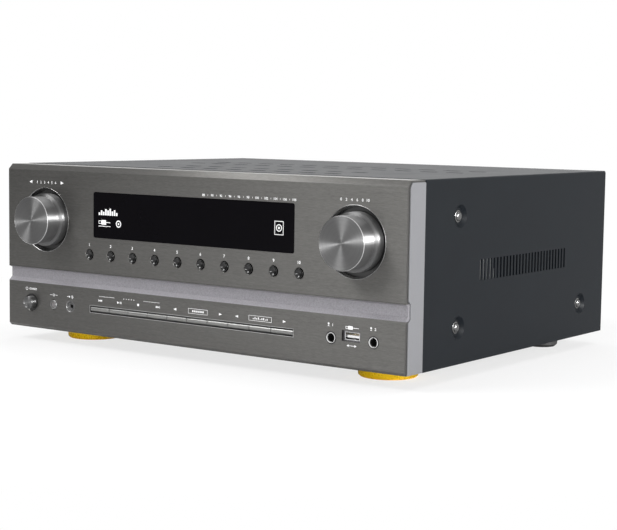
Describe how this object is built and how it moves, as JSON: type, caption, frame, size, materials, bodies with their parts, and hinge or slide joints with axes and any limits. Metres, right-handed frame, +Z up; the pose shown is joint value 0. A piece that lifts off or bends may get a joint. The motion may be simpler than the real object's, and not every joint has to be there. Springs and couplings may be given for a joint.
{
  "type": "stereo receiver",
  "caption": "Full-width stereo receiver with two recessed rotary knobs, round source buttons, a strip of play keys, microphone and USB sockets, vented steel cover and round feet.",
  "frame": {"origin": "on the surface the feet stand on, below the middle of the bounding box", "axes": "+X to the right seen from the front, along the width; +Y to the rear, so the front plates face -Y; +Z up"},
  "size_m": [0.43, 0.37, 0.1596],
  "materials": {
    "front_aluminium": "horizontally brushed, titanium grey",
    "band_silver": "fine metallic lilac-silver lacquer",
    "cap_silver": "satin silver lacquer",
    "cover_paint": "dark blue-grey satin paint",
    "zinc_steel": "plain zinc-plated sheet",
    "rear_paint": "matte black paint",
    "window_acrylic": "polished, nearly opaque",
    "tube_glass": "dark phosphor tube",
    "well_black": "dark gloss",
    "knob_aluminium": "turned grip, spun end face",
    "encoder_metal": "plain",
    "button_black": "polished dome",
    "power_aluminium": "turned, satin",
    "black_moulding": "moulded",
    "jack_grey": "moulded",
    "key_silver": "metallic lacquer",
    "lens_clear": "frosted lens",
    "plated_metal": "bright plating",
    "green_board": "solder resist",
    "amber_board": "bare laminate",
    "foot_gold": "bright gold",
    "foot_rubber": "black",
    "winding_tape": "yellow insulating tape",
    "sink_black": "black anodised",
    "chip_black": "moulded",
    "capacitor_sleeve": "shrunk sleeve",
    "lever_red": "moulded",
    "lever_black": "moulded",
    "tuner_tin": "tinned can",
    "screw_steel": "dark nickel",
    "cable_grey": "flat cable",
    "print_ink": "pale printed marks",
    "contact_gold": "thin gold plating"
  },
  "bodies": {
    "case": {"chassis_base": "zinc_steel", "top_cover": "cover_paint", "rear_panel": "rear_paint", "fascia_frame": "band_silver", "end_cap_left": "cap_silver", "end_cap_right": "cap_silver", "upper_plate": "front_aluminium", "lower_plate": "front_aluminium", "display_window": "window_acrylic", "display_tube": "tube_glass", "knob_wells": "well_black", "rotary_encoders": "encoder_metal", "power_switch": "black_moulding", "standby_lens": "lens_clear", "aux_jack": "jack_grey", "mic_jack_1": "plated_metal", "mic_jack_2": "plated_metal", "usb_port": "plated_metal", "front_board": "green_board", "io_board": "green_board", "front_feet": "foot_gold", "rear_feet": "foot_rubber", "power_transformer": "winding_tape", "heat_sink": "sink_black", "power_transistors": "chip_black", "amplifier_board": "amber_board", "filter_capacitors": "capacitor_sleeve", "phono_jacks": "black_moulding", "speaker_terminals": "black_moulding", "ac_inlet": "black_moulding", "tuner_module": "tuner_tin", "case_screws": "screw_steel", "ribbon_cable": "cable_grey"},
    "volume_knob": {"volume_knob": "knob_aluminium"},
    "selector_knob": {"selector_knob": "knob_aluminium"},
    "source_button_1": {"source_button_1": "button_black"},
    "source_button_2": {"source_button_2": "button_black"},
    "source_button_3": {"source_button_3": "button_black"},
    "source_button_4": {"source_button_4": "button_black"},
    "source_button_5": {"source_button_5": "button_black"},
    "source_button_6": {"source_button_6": "button_black"},
    "source_button_7": {"source_button_7": "button_black"},
    "source_button_8": {"source_button_8": "button_black"},
    "source_button_9": {"source_button_9": "button_black"},
    "source_button_10": {"source_button_10": "button_black"},
    "play_key_1": {"play_key_1": "key_silver"},
    "play_key_2": {"play_key_2": "key_silver"},
    "play_key_3": {"play_key_3": "key_silver"},
    "play_key_4": {"play_key_4": "key_silver"},
    "play_key_5": {"play_key_5": "key_silver"},
    "play_key_6": {"play_key_6": "key_silver"},
    "play_key_7": {"play_key_7": "key_silver"},
    "play_key_8": {"play_key_8": "key_silver"},
    "play_key_9": {"play_key_9": "key_silver"},
    "play_key_10": {"play_key_10": "key_silver"},
    "power_button": {"power_button": "power_aluminium"},
    "terminal_lever_1": {"terminal_lever_1": "lever_red"},
    "terminal_lever_2": {"terminal_lever_2": "lever_black"},
    "terminal_lever_3": {"terminal_lever_3": "lever_red"},
    "terminal_lever_4": {"terminal_lever_4": "lever_black"}
  },
  "joints": [
    {"name": "volume_turn", "type": "hinge", "parent": "case", "child": "volume_knob", "pos_m": [0.1672, -0.16701, 0.11077], "axis": [0, -1, 0], "continuous": true},
    {"name": "selector_turn", "type": "hinge", "parent": "case", "child": "selector_knob", "pos_m": [-0.1672, -0.16701, 0.11077], "axis": [0, -1, 0], "continuous": true},
    {"name": "source_1_press", "type": "slide", "parent": "case", "child": "source_button_1", "axis": [0, 1, 0], "range_m": [0, 0.001], "stiffness_N_per_m": 400, "springref_m": -0.0005},
    {"name": "source_2_press", "type": "slide", "parent": "case", "child": "source_button_2", "axis": [0, 1, 0], "range_m": [0, 0.001], "stiffness_N_per_m": 400, "springref_m": -0.0005},
    {"name": "source_3_press", "type": "slide", "parent": "case", "child": "source_button_3", "axis": [0, 1, 0], "range_m": [0, 0.001], "stiffness_N_per_m": 400, "springref_m": -0.0005},
    {"name": "source_4_press", "type": "slide", "parent": "case", "child": "source_button_4", "axis": [0, 1, 0], "range_m": [0, 0.001], "stiffness_N_per_m": 400, "springref_m": -0.0005},
    {"name": "source_5_press", "type": "slide", "parent": "case", "child": "source_button_5", "axis": [0, 1, 0], "range_m": [0, 0.001], "stiffness_N_per_m": 400, "springref_m": -0.0005},
    {"name": "source_6_press", "type": "slide", "parent": "case", "child": "source_button_6", "axis": [0, 1, 0], "range_m": [0, 0.001], "stiffness_N_per_m": 400, "springref_m": -0.0005},
    {"name": "source_7_press", "type": "slide", "parent": "case", "child": "source_button_7", "axis": [0, 1, 0], "range_m": [0, 0.001], "stiffness_N_per_m": 400, "springref_m": -0.0005},
    {"name": "source_8_press", "type": "slide", "parent": "case", "child": "source_button_8", "axis": [0, 1, 0], "range_m": [0, 0.001], "stiffness_N_per_m": 400, "springref_m": -0.0005},
    {"name": "source_9_press", "type": "slide", "parent": "case", "child": "source_button_9", "axis": [0, 1, 0], "range_m": [0, 0.001], "stiffness_N_per_m": 400, "springref_m": -0.0005},
    {"name": "source_10_press", "type": "slide", "parent": "case", "child": "source_button_10", "axis": [0, 1, 0], "range_m": [0, 0.001], "stiffness_N_per_m": 400, "springref_m": -0.0005},
    {"name": "key_1_press", "type": "slide", "parent": "case", "child": "play_key_1", "axis": [0, 1, 0], "range_m": [0, 0.0008], "stiffness_N_per_m": 400, "springref_m": -0.0005},
    {"name": "key_2_press", "type": "slide", "parent": "case", "child": "play_key_2", "axis": [0, 1, 0], "range_m": [0, 0.0008], "stiffness_N_per_m": 400, "springref_m": -0.0005},
    {"name": "key_3_press", "type": "slide", "parent": "case", "child": "play_key_3", "axis": [0, 1, 0], "range_m": [0, 0.0008], "stiffness_N_per_m": 400, "springref_m": -0.0005},
    {"name": "key_4_press", "type": "slide", "parent": "case", "child": "play_key_4", "axis": [0, 1, 0], "range_m": [0, 0.0008], "stiffness_N_per_m": 400, "springref_m": -0.0005},
    {"name": "key_5_press", "type": "slide", "parent": "case", "child": "play_key_5", "axis": [0, 1, 0], "range_m": [0, 0.0008], "stiffness_N_per_m": 400, "springref_m": -0.0005},
    {"name": "key_6_press", "type": "slide", "parent": "case", "child": "play_key_6", "axis": [0, 1, 0], "range_m": [0, 0.0008], "stiffness_N_per_m": 400, "springref_m": -0.0005},
    {"name": "key_7_press", "type": "slide", "parent": "case", "child": "play_key_7", "axis": [0, 1, 0], "range_m": [0, 0.0008], "stiffness_N_per_m": 400, "springref_m": -0.0005},
    {"name": "key_8_press", "type": "slide", "parent": "case", "child": "play_key_8", "axis": [0, 1, 0], "range_m": [0, 0.0008], "stiffness_N_per_m": 400, "springref_m": -0.0005},
    {"name": "key_9_press", "type": "slide", "parent": "case", "child": "play_key_9", "axis": [0, 1, 0], "range_m": [0, 0.0008], "stiffness_N_per_m": 400, "springref_m": -0.0005},
    {"name": "key_10_press", "type": "slide", "parent": "case", "child": "play_key_10", "axis": [0, 1, 0], "range_m": [0, 0.0008], "stiffness_N_per_m": 400, "springref_m": -0.0005},
    {"name": "power_press", "type": "slide", "parent": "case", "child": "power_button", "axis": [0, 1, 0], "range_m": [0, 0.0025], "stiffness_N_per_m": 500, "springref_m": -0.001},
    {"name": "lever_1_press", "type": "hinge", "parent": "case", "child": "terminal_lever_1", "pos_m": [-0.119, 0.17449, 0.065], "axis": [-1, 0, 0], "range_deg": [0, 28], "stiffness_Nm_per_rad": 0.06, "springref_deg": -11.46},
    {"name": "lever_2_press", "type": "hinge", "parent": "case", "child": "terminal_lever_2", "pos_m": [-0.103, 0.17449, 0.065], "axis": [-1, 0, 0], "range_deg": [0, 28], "stiffness_Nm_per_rad": 0.06, "springref_deg": -11.46},
    {"name": "lever_3_press", "type": "hinge", "parent": "case", "child": "terminal_lever_3", "pos_m": [-0.087, 0.17449, 0.065], "axis": [-1, 0, 0], "range_deg": [0, 28], "stiffness_Nm_per_rad": 0.06, "springref_deg": -11.46},
    {"name": "lever_4_press", "type": "hinge", "parent": "case", "child": "terminal_lever_4", "pos_m": [-0.071, 0.17449, 0.065], "axis": [-1, 0, 0], "range_deg": [0, 28], "stiffness_Nm_per_rad": 0.06, "springref_deg": -11.46}
  ]
}
